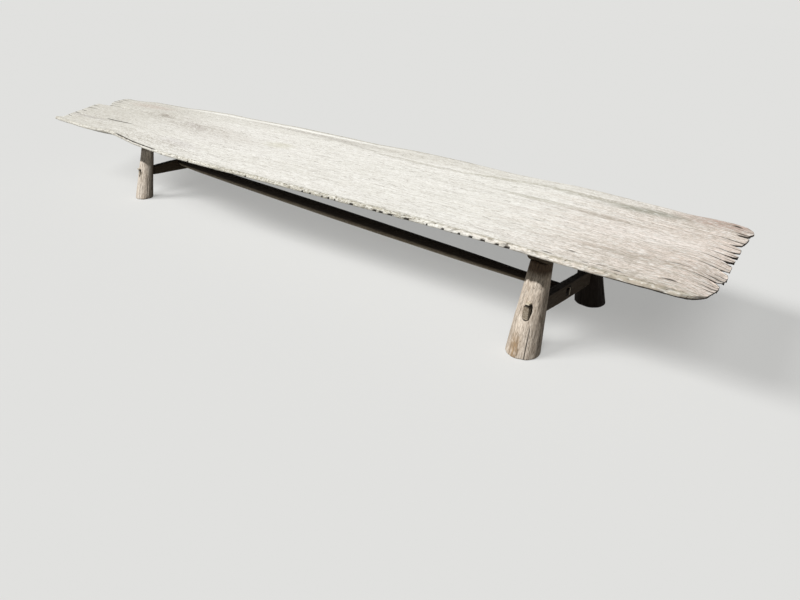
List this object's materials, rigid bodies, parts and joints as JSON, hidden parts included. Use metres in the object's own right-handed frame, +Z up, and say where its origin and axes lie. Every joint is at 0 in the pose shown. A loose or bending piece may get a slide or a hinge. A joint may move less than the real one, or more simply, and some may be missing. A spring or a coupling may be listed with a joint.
{
  "type": "bench",
  "caption": "Long low bench: one wide natural-edged weathered board on splayed round legs, tied by cross rails and a long stretcher pole with wedged tenons.",
  "frame": {"origin": "on the floor, under the middle of the board's bounding box", "axes": "+X along the bench towards its blunt, toothed end, -Y towards the side the picture shows, +Z up"},
  "size_m": [4.19, 0.9, 0.42],
  "materials": {
    "board_wood": "weathered grey-cream hardwood, unsealed",
    "leg_wood": "weathered round log, unsealed",
    "rail_wood": "old hewn hardwood, matt",
    "stretcher_wood": "old shaved pole, matt",
    "bearer_wood": "old sawn hardwood, matt",
    "wedge_wood": "split hardwood, matt",
    "peg_wood": "split hardwood, matt"
  },
  "bodies": {
    "root": {"seat_board": "board_wood", "left_bearer": "bearer_wood", "right_bearer": "bearer_wood", "left_bearer_pegs": "peg_wood", "right_bearer_pegs": "peg_wood", "front_left_leg": "leg_wood", "back_left_leg": "leg_wood", "front_right_leg": "leg_wood", "back_right_leg": "leg_wood", "front_left_leg_wedge": "wedge_wood", "back_left_leg_wedge": "wedge_wood", "front_right_leg_wedge": "wedge_wood", "back_right_leg_wedge": "wedge_wood", "left_cross_rail": "rail_wood", "right_cross_rail": "rail_wood", "front_left_rail_wedge": "wedge_wood", "back_left_rail_wedge": "wedge_wood", "front_right_rail_wedge": "wedge_wood", "back_right_rail_wedge": "wedge_wood", "long_stretcher": "stretcher_wood", "left_stretcher_wedge": "wedge_wood", "right_stretcher_wedge": "wedge_wood"}
  },
  "joints": []
}
